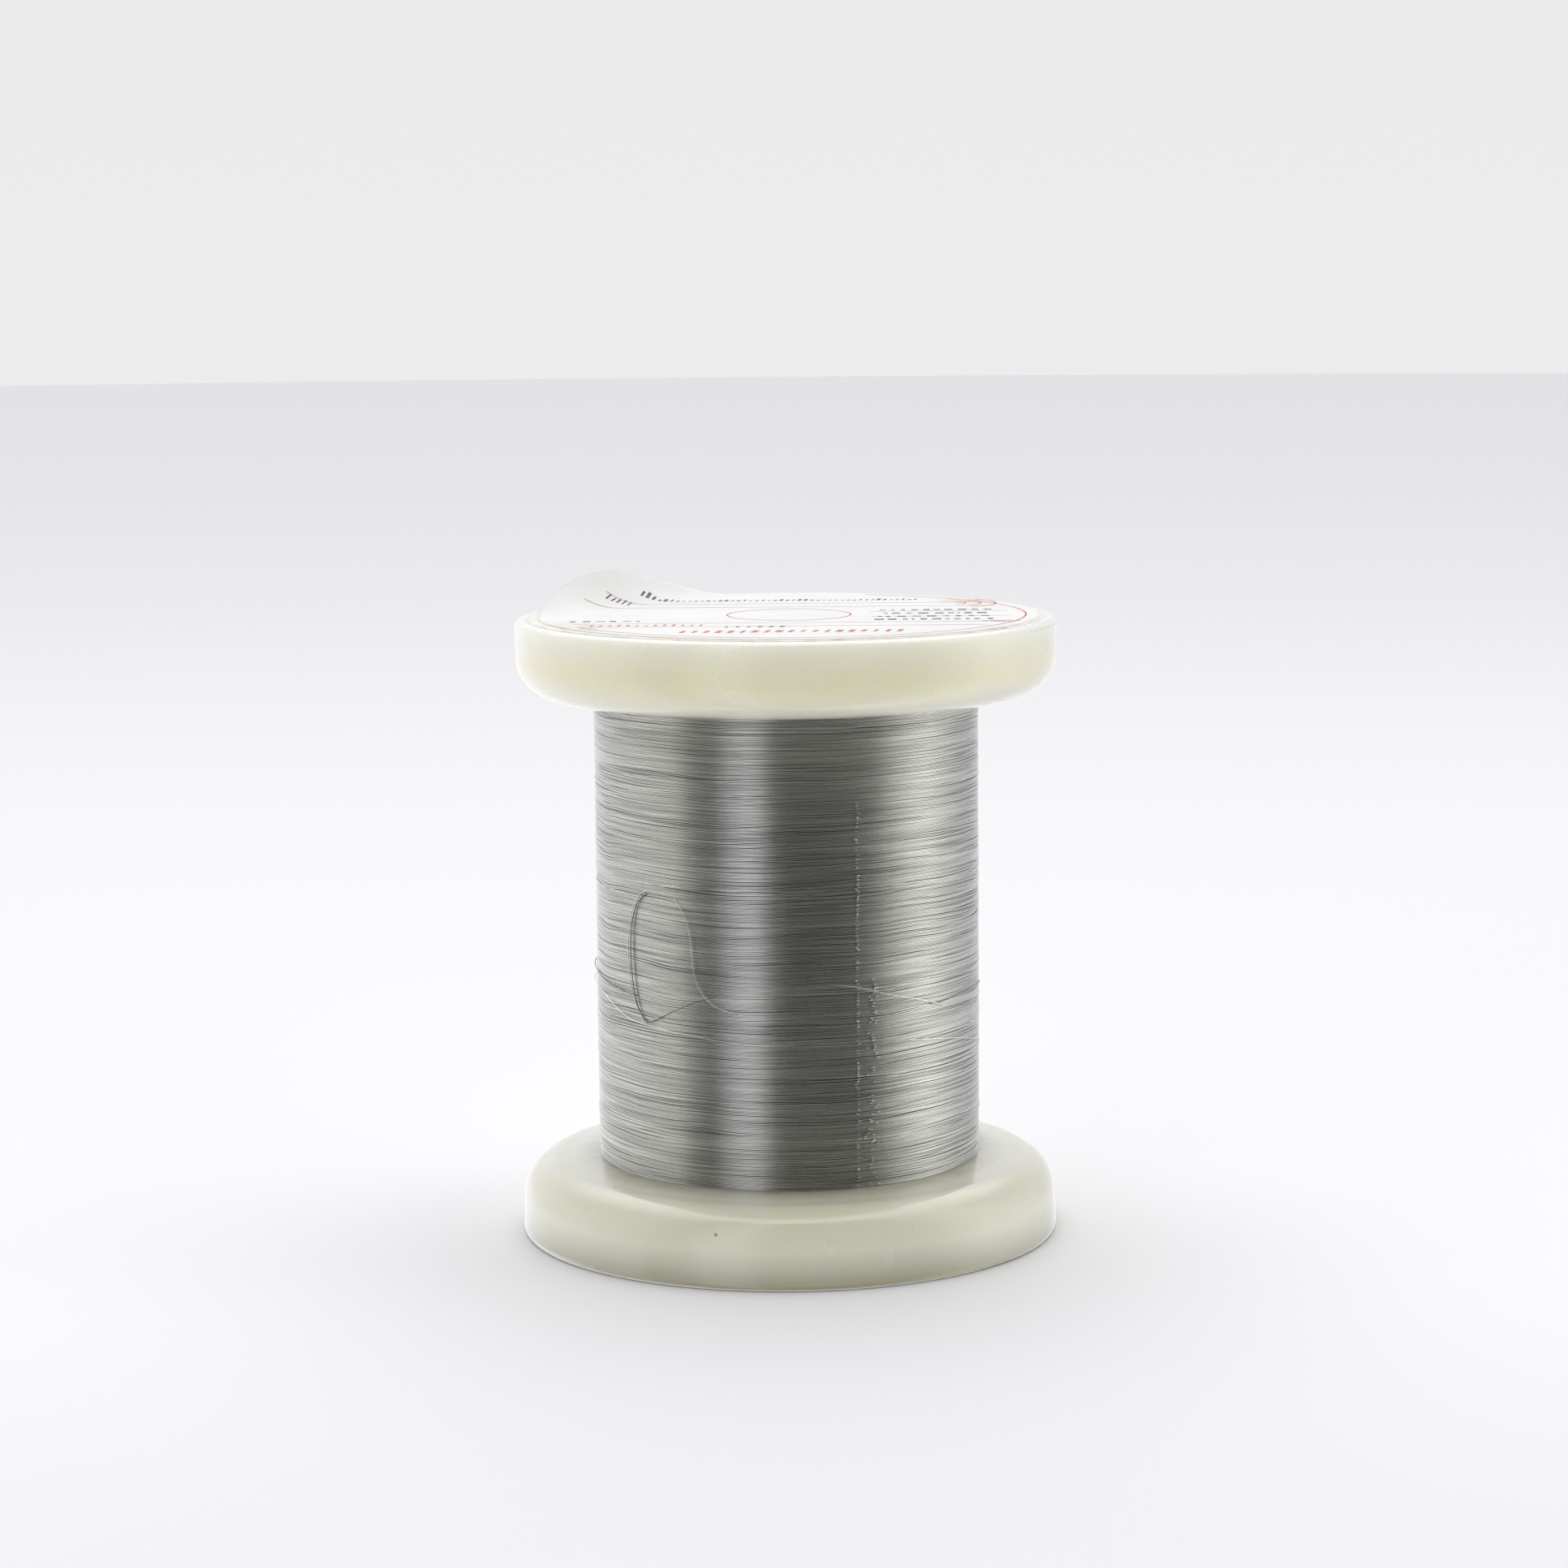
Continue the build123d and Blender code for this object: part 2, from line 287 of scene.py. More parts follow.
def mesh_piece(name, vertices, faces, material, smooth=True, normals=None):
    """A mesh object that rides on the bobbin, with one material."""
    mesh = bpy.data.meshes.new(name)
    mesh.from_pydata(np.asarray(vertices).tolist(), [], faces)
    mesh.polygons.foreach_set("use_smooth", [smooth] * len(mesh.polygons))
    if normals is not None:
        mesh.normals_split_custom_set_from_vertices(normals.tolist())
    mesh.materials.append(material)
    return ride_as(bpy.data.objects.new(name, mesh))


def cylinder_point(angle, height, radius):
    """A point from its angle in degrees, height and radius."""
    turn = math.radians(angle)
    return Vector((radius * math.sin(turn), -radius * math.cos(turn), height))


def points_round(angle, radius, height):
    """Points from arrays of angle in radians, radius and height."""
    return np.stack([radius * np.sin(angle), -radius * np.cos(angle), height], -1)


def peak(away, reach):
    """A smooth peak, 1 in its middle and small beyond its reach."""
    return np.exp(-((away / reach) ** 2))


def ripple(seed, waves, round_most, up_shortest):
    """A smooth random function of angle and height, from -1 to 1 or so. Angles are in radians.

    Its waves go round the bobbin up to round_most times, and are at least up_shortest high.
    """
    chance = np.random.default_rng(seed)
    rounds = chance.integers(1, round_most + 1, waves)
    ups = chance.uniform(-1, 1, waves) * 2 * math.pi / up_shortest
    phases = chance.uniform(0, 2 * math.pi, waves)

    def value(angle, height):
        total = 0.0
        for k, m, p in zip(rounds, ups, phases):
            total = total + np.cos(k * angle + m * height + p)
        return total / math.sqrt(waves / 2) / 2

    return value


LAYERS = ripple(3, 12, 6, 9.0 * MM)
LUMPS = ripple(5, 16, 18, 1.6 * MM)
DRIFT = ripple(13, 12, 7, 3.0 * MM)


def wound_radius(angle, height):
    """Radius of the wound surface, whose last layers are a little uneven."""
    return WINDING_R - WIRE_R + 0.025 * MM * LAYERS(angle, height) + 0.008 * MM * LUMPS(angle, height)


def over_the_lead(angle, height, chance):
    """How far each turn is pushed out where it crosses the lead below, and at the kinks beside it."""
    ridge_height, kink_height = 0.11 * MM, 0.14 * MM
    kinks_end = WINDING_BOTTOM + 27 * MM
    each_turn = (height.shape[0], 1)
    stray = 0.3 * LUMPS(0.0, height[:, :1]) + chance.normal(0, 0.25, each_turn)
    lead = np.radians(LEAD_ANGLE + stray)
    pushed = np.maximum(chance.uniform(-0.4, 1.0, each_turn), 0.0) * (height < LEAD_TOP)
    ridge = pushed * peak(angle - lead, math.radians(0.4))
    kinked = (chance.uniform(0, 1, each_turn) > 0.7) * (height < kinks_end)
    kink_at = math.radians(LEAD_ANGLE + 4.6) + chance.normal(0, math.radians(1.0), each_turn)
    kink = kinked * peak(angle - kink_at, math.radians(0.35))
    return ridge_height * ridge + kink_height * kink


def ring_angles():
    """Angles, in radians, at which the turns have points: closer together beside the lead."""
    fine_step, coarse_step = 0.3, 3.3
    fine = np.arange(LEAD_ANGLE - 1.5, LEAD_ANGLE + 8.1, fine_step)
    coarse = np.arange(fine[-1], fine[0] + 360.0, coarse_step)[1:]
    return np.radians(np.concatenate([fine, coarse]))


def wound_body(material, rows=300):
    """The layers under the last turns, as one closed ring."""
    clear = 0.02 * MM
    low, high = WINDING_BOTTOM + clear, WINDING_TOP - clear
    heights = np.linspace(low, high, rows)
    angles, outer_heights = np.meshgrid(ring_angles(), heights)
    outer = wound_radius(angles, outer_heights) - 2.0 * WIRE_R
    inner = np.full((2, outer.shape[1]), INNER_R + clear)
    radii = np.vstack([outer, inner])
    heights = np.broadcast_to(np.append(heights, [high, low])[:, None], radii.shape)
    points = points_round(np.broadcast_to(angles[0], radii.shape), radii, heights)
    faces = wrapped_quads(*radii.shape).tolist()
    piece = mesh_piece("winding_under_layers", points.reshape(-1, 3), faces, material)
    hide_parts("winding_outer_layers")


def wrapped_quads(rows, count):
    """Quads of a grid of points that closes on itself both ways."""
    here = np.arange(rows * count).reshape(rows, count)
    right, up = np.roll(here, -1, 1), np.roll(here, -1, 0)
    return np.stack([here, right, np.roll(right, -1, 0), up], -1).reshape(-1, 4)


def directions_along(paths):
    """Unit tangents of closed paths whose points may be unevenly spaced."""
    before = paths - np.roll(paths, 1, 1)
    after = np.roll(paths, -1, 1) - paths
    before_length = np.linalg.norm(before, axis=2, keepdims=True)
    after_length = np.linalg.norm(after, axis=2, keepdims=True)
    along = before * after_length / before_length + after * before_length / after_length
    return along / np.linalg.norm(along, axis=2, keepdims=True)


def turn_tubes(name, paths, material, sides=5):
    """One piece of many closed turns of wire. paths is an array of turns, points and x, y, z."""
    along = directions_along(paths)
    side = np.cross(along, paths * (1, 1, 0))
    side /= np.linalg.norm(side, axis=2, keepdims=True)
    out = np.cross(side, along)
    turns, steps = paths.shape[:2]
    around = 2 * math.pi * np.arange(sides) / sides
    normals = np.cos(around)[:, None] * out[:, :, None] + np.sin(around)[:, None] * side[:, :, None]
    points = paths[:, :, None] + WIRE_R * normals
    first_points = np.arange(turns)[:, None, None] * steps * sides
    faces = (wrapped_quads(steps, sides)[None] + first_points).reshape(-1, 4)
    mesh_piece(name, points.reshape(-1, 3), faces.tolist(), material,
               normals=normals.reshape(-1, 3))


def laid_heights(turns, low, high, chance, gaps=6):
    """Heights round each of the turns of one layer. Turns touch, but here and there two are parted."""
    angle = np.broadcast_to(ring_angles(), (turns, len(ring_angles())))
    spacing = np.full(angle.shape, 2 * WIRE_R)
    for _ in range(gaps):
        middle = chance.uniform(0, 2 * math.pi, (turns, 1))
        reach = chance.uniform(0.07, 0.38, (turns, 1))
        parted = chance.uniform(0.1, 1.0, (turns, 1)) * (chance.uniform(0, 1, (turns, 1)) < 0.6)
        away = np.abs((angle - middle + math.pi) % (2 * math.pi) - math.pi)
        spacing = spacing + 0.085 * MM * parted * peak(away, reach)
    stacked = np.cumsum(spacing, 0)
    return low + (high - low) * (stacked - stacked[0]) / (stacked[-1] - stacked[0])


def turn_paths(heights, own, proud, chance, waves=8):
    """Paths of turns near these heights. own is how far each strays, proud how far it lies out."""
    angle = np.broadcast_to(ring_angles(), heights.shape)
    turns = len(heights)
    heights = heights + 0.05 * MM * DRIFT(angle, heights)
    radius_change = 0.0
    for k in range(1, waves + 1):
        phase = chance.uniform(0, 2 * math.pi, (2, turns, 1))
        size = chance.normal(0, 1, (2, turns, 1)) / math.sqrt(k)
        heights = heights + own * size[0] * np.cos(k * angle + phase[0])
        radius_change = radius_change + 0.006 * MM * size[1] * np.cos(k * angle + phase[1])
    heights = np.clip(heights, WINDING_BOTTOM + WIRE_R, WINDING_TOP - WIRE_R)
    radius = wound_radius(angle, heights) + over_the_lead(angle, heights, chance) + radius_change + proud
    return points_round(angle, radius, heights)


def last_turns(material, pieces=4, beside=115, askew=5):
    """The last layer of turns, side by side, and a few askew on top of it."""
    chance = np.random.default_rng(41)
    low, high = WINDING_BOTTOM + WIRE_R, WINDING_TOP - WIRE_R
    heights = laid_heights(pieces * beside, low, high, chance)
    for i in range(pieces):
        layer = heights[i * beside:(i + 1) * beside]
        laid = turn_paths(layer, 0.005 * MM, 0.0, chance)
        middles = chance.uniform(layer[0, 0], layer[-1, 0], (askew, 1)) + np.zeros_like(layer[0])
        crossing = turn_paths(middles, 0.10 * MM, WIRE_R, chance)
        turn_tubes(f"last_turns_{i + 1}", np.concatenate([laid, crossing]), material)


def loose_wire(name, stations, material, node_name=None):
    """A smooth loose wire over the winding, through (angle, height in mm, lift in mm)."""
    curve = bpy.data.curves.new(name, "CURVE")
    curve.dimensions = "3D"
    curve.bevel_depth = WIRE_R
    curve.bevel_resolution = 3
    curve.resolution_u = 12
    curve.use_fill_caps = True
    spline = curve.splines.new("NURBS")
    spline.points.add(len(stations) - 1)
    for point, (angle, height, lift) in zip(spline.points, stations):
        place = cylinder_point(angle, height * MM, WINDING_R + WIRE_R + lift * MM)
        point.co = (*place, 1.0)
    spline.order_u = 3
    spline.use_endpoint_u = True
    curve.materials.append(material)
    piece = ride_as(bpy.data.objects.new(name, curve))
    if node_name:
        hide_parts(node_name)


# Loose wires drawn in the dark wire, which is painted shadow.
PAINTED_SHADOW_LOOSE = ("loose_end_loop", "loose_turn_left_upper", "loose_turn_right_middle")
# Stations of each loose wire: (angle, height in mm, lift in mm). Both ends are tucked in.
LOOSE = {
    "loose_end_loop": [
        (-42.5, 47.7, -0.3), (-46.0, 47.0, 0.0), (-49.0, 45.9, 0.1), (-51.0, 44.3, 0.15),
        (-52.1, 42.0, 0.2), (-52.4, 39.4, 0.2), (-52.0, 36.8, 0.2), (-50.9, 34.3, 0.2),
        (-49.1, 32.1, 0.15), (-46.0, 30.5, 0.1), (-42.2, 31.0, 0.0), (-38.4, 31.9, -0.07),
        (-34.2, 32.8, -0.09), (-29.7, 33.7, -0.09), (-25.0, 34.4, -0.09), (-20.0, 35.1, -0.09),
        (-15.2, 35.7, -0.3)],
    "loose_inner_arc": [
        (-36.4, 47.7, -0.3), (-33.2, 46.4, 0.1), (-30.7, 44.9, 0.2), (-29.2, 43.0, 0.25),
        (-28.6, 41.0, 0.25), (-28.3, 38.9, 0.25), (-27.5, 36.9, 0.25), (-25.7, 35.3, 0.2),
        (-22.8, 34.0, 0.15), (-19.2, 33.2, 0.05), (-15.4, 32.9, 0.0), (-11.2, 32.5, -0.3)],
    "loose_turn_left_upper": [
        (-97.0, 35.9, -0.3), (-91.0, 35.6, 0.3), (-84.5, 35.2, 0.25), (-78.2, 35.0, 0.15),
        (-72.0, 34.6, 0.12), (-65.8, 34.3, 0.12), (-59.0, 34.1, 0.12), (-52.0, 33.8, 0.12),
        (-46.0, 33.7, -0.3)],
    "loose_turn_left_lower": [
        (-96.0, 34.2, -0.3), (-89.5, 33.7, 0.35), (-82.0, 33.2, 0.25), (-74.5, 33.0, 0.15),
        (-67.5, 32.4, 0.12), (-61.5, 31.5, 0.12), (-55.0, 30.7, 0.12), (-48.5, 30.3, 0.12),
        (-42.0, 30.2, 0.12), (-35.0, 29.9, 0.12), (-28.0, 29.7, 0.12), (-21.0, 29.3, 0.12),
        (-14.0, 29.1, 0.12), (-7.5, 28.9, 0.12), (-1.0, 29.0, 0.12), (5.5, 29.0, -0.3)],
    "loose_turn_right_upper": [
        (9.0, 36.8, -0.3), (14.6, 36.4, 0.12), (19.8, 36.1, 0.15), (25.0, 35.4, 0.2),
        (30.6, 34.7, 0.25), (37.2, 34.0, 0.25), (43.8, 33.3, 0.25), (50.5, 32.3, 0.15),
        (57.0, 31.7, -0.3)],
    "loose_turn_right_middle": [
        (40.5, 33.1, -0.3), (46.5, 32.6, 0.1), (53.0, 32.7, 0.12), (60.0, 33.1, 0.12),
        (67.5, 33.0, 0.12), (75.5, 33.1, 0.15), (84.0, 32.8, 0.25), (92.0, 32.5, -0.3)],
    "loose_turn_right_lower": [
        (32.0, 28.8, -0.3), (38.0, 28.5, 0.12), (44.0, 28.3, 0.12), (51.0, 27.9, 0.12),
        (59.0, 27.4, 0.12), (68.0, 26.6, 0.12), (77.5, 25.8, 0.15), (87.0, 24.9, 0.25),
        (94.0, 24.4, -0.3)],
}
# The light strand that lies beside the main loop, which is drawn dark as its painted shadow.
SECOND_STRAND = [(-43.0, 47.9, -0.3), (-46.8, 47.4, 0.05), (-50.0, 46.2, 0.15), (-51.8, 44.4, 0.2),
                 (-53.1, 42.0, 0.25), (-53.3, 39.4, 0.3), (-53.0, 36.8, 0.3), (-51.6, 34.3, 0.25),
                 (-49.6, 32.1, 0.2), (-45.6, 30.2, 0.1)]


def loose_wires(painted_shadow, painted_lit_wire):
    """All the loose wires, some in a dark wire that is painted shadow, the rest in a lighter one that is
    painted light. The second strand stands for no CAD node.
    """
    loose_wire("loose_end_loop_second_strand", SECOND_STRAND, painted_lit_wire)
    for name, stations in LOOSE.items():
        loose_wire(name + "_wire", stations, painted_shadow if name in PAINTED_SHADOW_LOOSE else painted_lit_wire, name)


# ---------------------------------------------------------------- label

LABEL_R = 32.5 * MM
LABEL_CENTRE = (0.5 * MM, 0.6 * MM)
FLAP_DIRECTION = 145.0
FLAP_REACH = 7.9 * MM
FLAP_BEND_R = 6.0 * MM
SHEET_UNDERSIDE = 0.005 * MM
SHEET_TOP = 0.1 * MM
PRINT_TOP = 0.115 * MM
SHEET_RINGS = 46
SHEET_SECTORS = 220
# Width in mm of the ruled lines.
RULE_WIDTH = 0.16


def on_label(x, y, lift):
    """Where a point of the flat label lies once it is bent. lift is how far above its underside it is."""
    turn = math.radians(FLAP_DIRECTION)
    across = x * math.cos(turn) + y * math.sin(turn)
    along = -x * math.sin(turn) + y * math.cos(turn)
    fold = LABEL_R - FLAP_REACH
    height, tilt = 0.0, 0.0
    if across > fold:
        tilt = (across - fold) / FLAP_BEND_R
        across = fold + FLAP_BEND_R * math.sin(tilt)
        height = FLAP_BEND_R * (1 - math.cos(tilt))
    across -= lift * math.sin(tilt)
    height += lift * math.cos(tilt)
    px = across * math.cos(turn) - along * math.sin(turn)
    py = across * math.sin(turn) + along * math.cos(turn)
    return Vector((LABEL_CENTRE[0] + px, LABEL_CENTRE[1] + py, ADHESIVE_TOP + height))


def sheet_vertices(lift):
    """Points of one side of the paper: its middle, then ring after ring, with an uneven edge."""
    vertices = [on_label(0, 0, lift)]
    for ring in range(1, SHEET_RINGS + 1):
        for sector in range(SHEET_SECTORS):
            turn = 2 * math.pi * sector / SHEET_SECTORS
            uneven = noise.noise(Vector((math.cos(turn) * 9, math.sin(turn) * 9, 2)))
            reach = (LABEL_R + 0.12 * MM * uneven) * ring / SHEET_RINGS
            vertices.append(on_label(reach * math.cos(turn), reach * math.sin(turn), lift))
    return vertices


def sheet_faces(middle, flip):
    """Faces of one side of the paper. middle is the index of its middle point."""
    faces = []
    for sector in range(SHEET_SECTORS):
        after = (sector + 1) % SHEET_SECTORS
        faces.append((middle, middle + 1 + sector, middle + 1 + after))
        for ring in range(SHEET_RINGS - 1):
            inner = middle + 1 + ring * SHEET_SECTORS
            outer = inner + SHEET_SECTORS
            faces.append((inner + sector, outer + sector, outer + after, inner + after))
    return [face[::-1] for face in faces] if flip else faces


def label_sheet(material):
    """The paper disc, with its lifted edge, as a closed thin sheet."""
    vertices = sheet_vertices(SHEET_UNDERSIDE) + sheet_vertices(SHEET_TOP)
    side = len(vertices) // 2
    faces = sheet_faces(0, True) + sheet_faces(side, False)
    rim = 1 + (SHEET_RINGS - 1) * SHEET_SECTORS
    for sector in range(SHEET_SECTORS):
        after = (sector + 1) % SHEET_SECTORS
        faces.append((rim + sector, rim + after, side + rim + after, side + rim + sector))
    piece = mesh_piece("label_sheet", vertices, faces, material)
    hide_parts("label")


class Print:
    """Flat printed marks, gathered into one mesh that lies on the label. Sizes are in mm.

    A size may be a range, (low, high), and is then drawn by chance for each mark.
    """

    def __init__(self, chance):
        self.vertices, self.faces, self.chance = [], [], chance

    def drawn(self, size):
        """A size, drawn from its range if it has one."""
        return self.chance.uniform(*size) if isinstance(size, tuple) else size

    def strip(self, pairs):
        """A strip of quads between pairs of flat points."""
        start = len(self.vertices)
        for pair in pairs:
            for x, y in pair:
                self.vertices.append(on_label(x * MM, y * MM, PRINT_TOP))
        for i in range(len(pairs) - 1):
            a = start + 2 * i
            self.faces.append((a, a + 1, a + 3, a + 2))

    def line(self, x0, y0, x1, y1, width, steps=12):
        """A straight line between two points."""
        length = math.hypot(x1 - x0, y1 - y0)
        nx, ny = -(y1 - y0) / length * width / 2, (x1 - x0) / length * width / 2
        pairs = []
        for i in range(steps + 1):
            t = i / steps
            x, y = x0 + (x1 - x0) * t, y0 + (y1 - y0) * t
            pairs.append(((x - nx, y - ny), (x + nx, y + ny)))
        self.strip(pairs)

    def arc(self, radius, width, start=0.0, end=360.0, centre=(0.0, 0.0)):
        """A ring or a part of one, between two angles in degrees."""
        steps = max(4, int(abs(end - start) / 3))
        pairs = []
        for i in range(steps + 1):
            turn = math.radians(start + (end - start) * i / steps)
            c, s = math.cos(turn), math.sin(turn)
            inner, outer = radius - width / 2, radius + width / 2
            pairs.append(((centre[0] + outer * c, centre[1] + outer * s),
                          (centre[0] + inner * c, centre[1] + inner * s)))
        self.strip(pairs)

    def ticks(self, count, start, step, lean, bottom, top, width):
        """A row of parallel ticks from x = start, each leaning over by lean."""
        for i in range(count):
            x = start + i * step
            foot, head = self.drawn(bottom), self.drawn(top)
            self.line(x, foot, x + lean, head, self.drawn(width))

    def bars(self, y, start, end):
        """A row of level bars of differing lengths, from x = start to about x = end."""
        x = self.drawn(start)
        while x < end:
            length = self.drawn((0.3, 1.3))
            self.line(x, y, x + length, y, self.drawn((0.7, 1.5)))
            x += length + self.drawn((0.4, 1.0))

    def short_bars(self, count, start, step, y):
        """A row of short level bars, evenly placed."""
        for i in range(count):
            x = start + i * step
            end = x + self.drawn((0.4, 1.2))
            self.line(x, y, end, y, self.drawn((0.5, 1.2)))

    def piece(self, name, material):
        """Makes the mesh of all the marks."""
        mesh_piece(name, self.vertices, self.faces, material, smooth=False)


def red_print(material, chance):
    """Plain rings, ruled lines across the label, arcs and two rows of ticks."""
    marks = Print(chance)
    marks.arc(8.0, 0.22)
    marks.arc(30.6, 0.25, -150, 70)
    for y in (-11.0, -15.5, 11.0, 16.0):
        reach = math.sqrt(29.5 ** 2 - y * y)
        marks.line(-reach, y, reach, y, RULE_WIDTH, steps=40)
    for y in (3.5, -3.5):
        marks.line(10.5, y, 28.5, y, RULE_WIDTH)
    marks.ticks(19, -13.5, 1.5, 0.5, (-23.8, -23.0), -21.0, (0.4, 0.9))
    marks.ticks(13, -25, 1.15, 0.2, -14.4, (-12.2, -13.2), (0.2, 0.45))
    for radius in (1.5, 2.6):
        marks.arc(radius, 0.3, 200, 330, centre=(27.0, -9.0))
    for radius in (3.0, 5.0, 7.0):
        marks.arc(radius, 0.25, -60, 50, centre=(20.5, 15.0))
    marks.piece("label_print_red", material)


def black_print(material, chance):
    """Three rows of ticks and five of level bars."""
    marks = Print(chance)
    marks.ticks(46, -20, 0.82, 0.3, 20.0, (20.8, 22.6), (0.2, 0.5))
    marks.ticks(5, -24.5, 0.75, 0.5, 14.2, (15.6, 16.4), 0.25)
    for y in (0.6, -3.6, -7.6, 5.4):
        marks.bars(y, (10.5, 13.0), 25.5)
    marks.short_bars(6, -28, 1.7, -7.6)
    marks.ticks(6, -8, 1.4, 0.3, -16.8, -15.4, (0.3, 0.6))
    marks.piece("label_print_black", material)


# ---------------------------------------------------------------- stage, light and camera

FLOOR_R = 3.5
FLOOR_CORNERS = 96
# How pale the floor looks to the camera, with painted light: palest just behind the bobbin, painted darker in
# front of it and towards the far edge. (place, tone), from 1 m in front of the bobbin (0) to 3 m behind it
# (1).
FLOOR_PAINTED_LIGHT = [(0.20, 0.79), (0.22, 0.825), (0.24, 0.90), (0.28, 0.89), (0.345, 0.88), (0.48, 0.805),
                (0.65, 0.77), (1.0, 0.75)]
# The even tone of the light that the floor throws back on the bobbin.
FLOOR_BOUNCE = (0.64, 0.64, 0.62)
# Blue against red of the floor and of the wall behind it.
COOL = 1.015


def stage():
    """A pale floor with painted light, palest just behind the bobbin. Reflections show the studio instead of
    it.
    """
    material, tree, bsdf = new_material("floor", Roughness=0.8, Specular_IOR_Level=0.1)
    place = node(tree, "TexCoord").outputs["Object"]
    deep = node(tree, "SeparateXYZ", {0: place}).outputs[1]
    share = between(tree, deep, -1.0, 3.0)
    shown = ramp(tree, share, [(p, (v, v, COOL * v)) for p, v in FLOOR_PAINTED_LIGHT])
    seen = node(tree, "LightPath").outputs["Is Camera Ray"]
    paint(tree, bsdf, blend_colours(tree, seen, FLOOR_BOUNCE, shown))
    mesh = bpy.data.meshes.new("floor")
    turns = [2 * math.pi * i / FLOOR_CORNERS for i in range(FLOOR_CORNERS)]
    rim = [(FLOOR_R * math.cos(turn), FLOOR_R * math.sin(turn), 0.0) for turn in turns]
    mesh.from_pydata(rim, [], [tuple(range(FLOOR_CORNERS))])
    mesh.materials.append(material)
    floor = bpy.data.objects.new("floor", mesh)
    bpy.context.scene.collection.objects.link(floor)
    floor.visible_glossy = False


# Studio round the bobbin: (azimuth in degrees from the front towards +X, brightness, blue against red)
PANELS = [(-180, 0.92, 1.04), (-158, 0.96, 1.05), (-125, 0.90, 1.03), (-95, 0.85, 1.00), (-77, 0.76, 0.98),
          (-68, 0.62, 0.98), (-62, 0.12, 0.98), (-45, 0.09, 1.03), (-40, 0.47, 1.08), (-34, 0.74, 1.08),
          (-25, 0.88, 1.08), (-17, 0.60, 1.06), (-10, 0.07, 1.00), (8, 0.06, 0.98), (20, 0.07, 0.98),
          (40, 0.08, 0.97), (54, 0.10, 0.96), (59, 0.16, 0.96), (63, 0.36, 0.97), (72, 0.68, 0.97),
          (80, 1.02, 0.97), (95, 1.42, 0.98), (106, 1.16, 1.00), (120, 0.82, 1.02), (142, 0.62, 1.06),
          (180, 0.92, 1.05)]
TABLE_GLOW = 0.16
CEILING = (2.0, 2.0, 2.02)


def panels_round(tree, direction):
    """Light of the panels round the bobbin, with a faint glow from the table below."""
    back = calculate(tree, "MULTIPLY", direction[1], -1.0)
    azimuth = calculate(tree, "ARCTAN2", direction[0], back)
    share = between(tree, azimuth, -math.pi, math.pi)
    stops = [((angle + 180) / 360, (level, level, level * blue)) for angle, level, blue in PANELS]
    panels = ramp(tree, share, stops)
    glow = calculate(tree, "MULTIPLY", between(tree, direction[2], 0.05, -0.15), TABLE_GLOW)
    table = node(tree, "CombineColor", {0: glow, 1: glow, 2: glow})
    return blend_colours(tree, 1.0, panels, table.outputs[0], mode="ADD")


def ceiling_share(tree, direction):
    """1 towards the ceiling, which is over the bobbin and a little behind it, and 0 elsewhere."""
    upward = calculate(tree, "MULTIPLY", direction[2], 0.91)
    tilt = calculate(tree, "MULTIPLY_ADD", direction[1], 0.42, upward)
    over = node(tree, "MapRange", {0: tilt, 1: 0.72, 2: 0.92}, interpolation_type="SMOOTHSTEP")
    return over.outputs[0]


def backdrop(tree, direction):
    """The plain pale wall that is seen behind the floor."""
    grey = between(tree, direction[2], -0.10, 0.05, 0.85, 0.83)
    blue = calculate(tree, "MULTIPLY", grey, COOL)
    return node(tree, "CombineColor", {0: grey, 1: grey, 2: blue}).outputs[0]


def studio_light():
    """The world's light: panels and a ceiling. Seen directly, it is a plain pale wall instead."""
    world = bpy.data.worlds.new("studio")
    bpy.context.scene.world = world
    world.use_nodes = True
    tree = world.node_tree
    place = node(tree, "TexCoord").outputs["Generated"]
    direction = node(tree, "SeparateXYZ", {0: place}).outputs
    light = blend_colours(tree, ceiling_share(tree, direction), panels_round(tree, direction), CEILING)
    seen = node(tree, "LightPath").outputs["Is Camera Ray"]
    colour = blend_colours(tree, seen, light, backdrop(tree, direction))
    tree.links.new(colour, tree.nodes["Background"].inputs["Color"])


def lamp(name, place, aim, size, power):
    """A rectangular lamp at a place, facing a point."""
    data = bpy.data.lights.new(name, "AREA")
    data.shape = "RECTANGLE"
    data.size, data.size_y = size
    data.energy = power
    made = bpy.data.objects.new(name, data)
    bpy.context.scene.collection.objects.link(made)
    made.location = place
    made.rotation_euler = (Vector(place) - Vector(aim)).to_track_quat("Z", "Y").to_euler()
    return made


def lamps():
    """A dim strip over the bobbin for glints on the roundings, and softboxes to both sides in front."""
    lamp("ceiling_lamp", (0.02, -0.28, 1.05), (0, 0, 0), (0.50, 0.05), 0.22)
    for name, x in (("softbox_left", -1.2), ("softbox_right", 1.2)):
        softbox = lamp(name, (x, -1.0, 0.35), (0, 0, 0.04), (1.2, 0.7), 1.35)
        softbox.data.spread = math.radians(80)
        softbox.visible_glossy = False


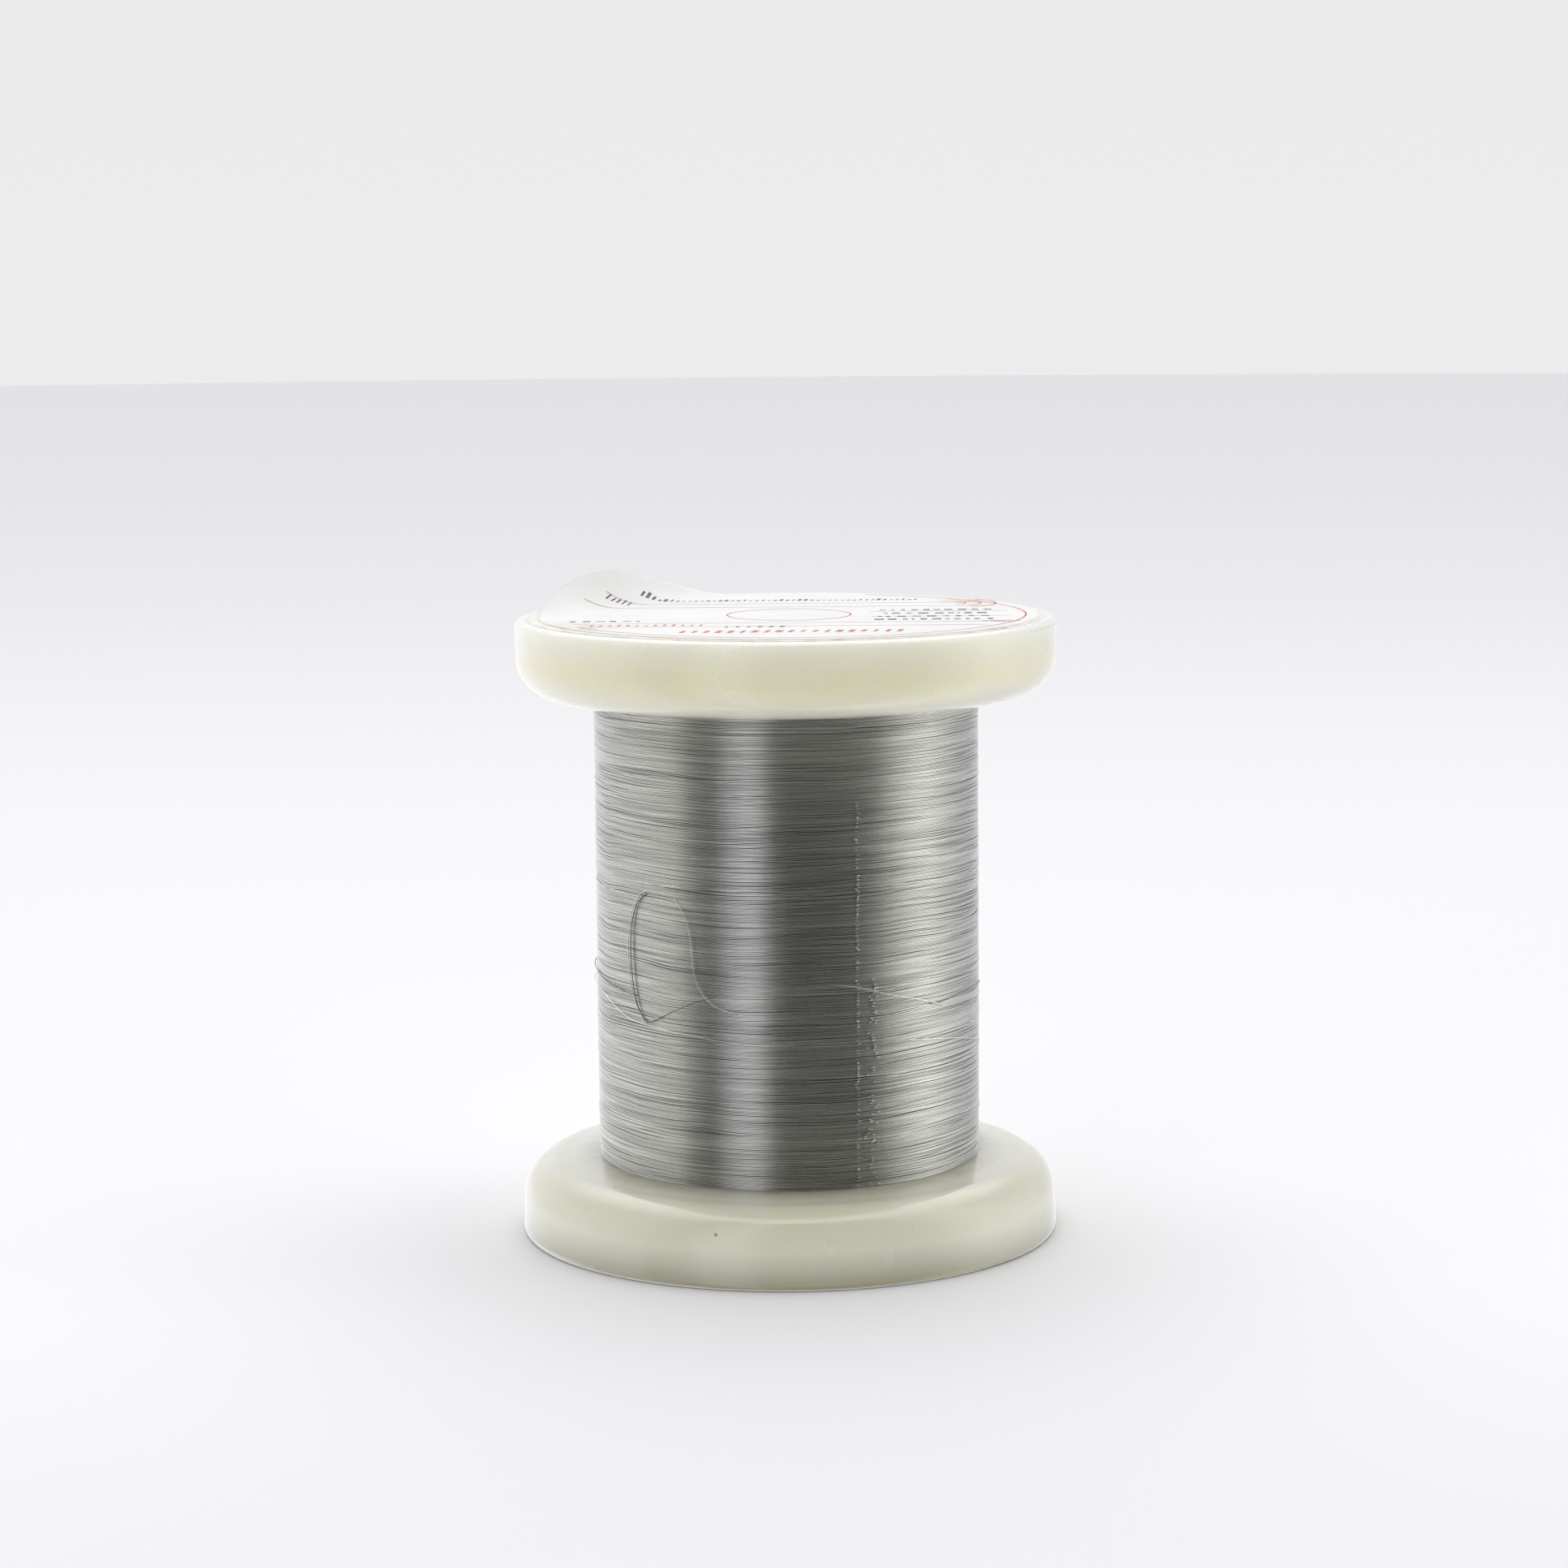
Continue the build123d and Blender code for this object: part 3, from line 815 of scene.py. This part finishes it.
def camera():
    """The camera, in front of the bobbin and a little above it. Metres, degrees and mm of lens."""
    distance, height, pitch, yaw, roll = 0.5042, 0.1272, 7.758, -0.038, -0.472
    data = bpy.data.cameras.new("camera")
    data.lens = 89.88
    data.sensor_width = 36.0
    data.clip_start = 0.01
    cam = bpy.data.objects.new("camera", data)
    bpy.context.scene.collection.objects.link(cam)
    p, w, r = math.radians(pitch), math.radians(yaw), math.radians(roll)
    ahead = Vector((math.sin(w) * math.cos(p), math.cos(w) * math.cos(p), -math.sin(p)))
    right = ahead.cross(Vector((0, 0, 1))).normalized()
    up = right.cross(ahead)
    turned_right = math.cos(r) * right + math.sin(r) * up
    turned_up = -math.sin(r) * right + math.cos(r) * up
    matrix = Matrix((turned_right, turned_up, -ahead)).transposed().to_4x4()
    matrix.translation = Vector((0, -distance, height))
    cam.matrix_world = matrix
    bpy.context.scene.camera = cam


def dress(material, *names):
    """Gives CAD nodes a material."""
    for name in names:
        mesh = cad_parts[name].data
        mesh.materials.clear()
        mesh.materials.append(material)


def plastic_parts():
    """Dresses the moulded CAD parts. The lower flange's colours are darker, in part as painted shade, and it
    has more dirt and painted shade beside the wire.
    """
    upper = ivory_plastic("upper_plastic", "flange_upper", core=(0.88, 0.845, 0.65), edge=(0.94, 0.93, 0.87),
                          foot=(0.94, 0.93, 0.87), soiling_and_shade=0.2, clean_cells=0.975)
    # Lower flange: darker colours partly as painted shade, and a foot colour that is painted shade beside the
    # floor.
    lower = ivory_plastic("lower_plastic", "flange_lower", core=(0.72, 0.71, 0.575), edge=(0.90, 0.90, 0.79),
                          foot=(0.46, 0.45, 0.34), soiling_and_shade=0.8, clean_cells=0.965)
    dress(upper, "flange_upper", "end_plate_upper")
    dress(lower, "flange_lower", "end_plate_lower")
    dress(plain_plastic(), "arbor_tube", "barrel")


def wire_parts():
    """Dresses the wire that is CAD, and adds the last turns and the loose wires."""
    turn = wire_metal("turn_wire", (0.715, 0.72, 0.68), 0.19)
    # The wire under the last turns is painted much darker than the turns: painted shade for the gaps between
    # turns.
    under = wire_metal("under_wire_painted_shade", (0.30, 0.295, 0.28), 0.35)
    # A lighter copy of the wire: painted light on the loose wires, the strand beside the loop and the lead.
    painted_lit_wire = wire_metal("loose_wire", (0.86, 0.85, 0.80), 0.22)
    # A dark copy of the wire: painted shadow along the loose wires that lie in it.
    painted_shadow = wire_metal("painted_shadow_wire", (0.20, 0.195, 0.17), 0.3)
    dress(under, "winding_inner_layers")
    dress(painted_lit_wire, "crossover_lead")
    wound_body(under)
    last_turns(turn)
    loose_wires(painted_shadow, painted_lit_wire)


def label_parts():
    """The adhesive, the paper on it and the print."""
    dress(dried_adhesive(), "label_adhesive")
    label_sheet(paper())
    chance = random.Random(7)
    red_print(ink("red_ink", (0.62, 0.10, 0.09)), chance)
    black_print(ink("black_ink", (0.06, 0.06, 0.07)), chance)


bpy.context.scene.view_settings.view_transform = "Standard"
camera()
stage()
studio_light()
lamps()
plastic_parts()
wire_parts()
label_parts()
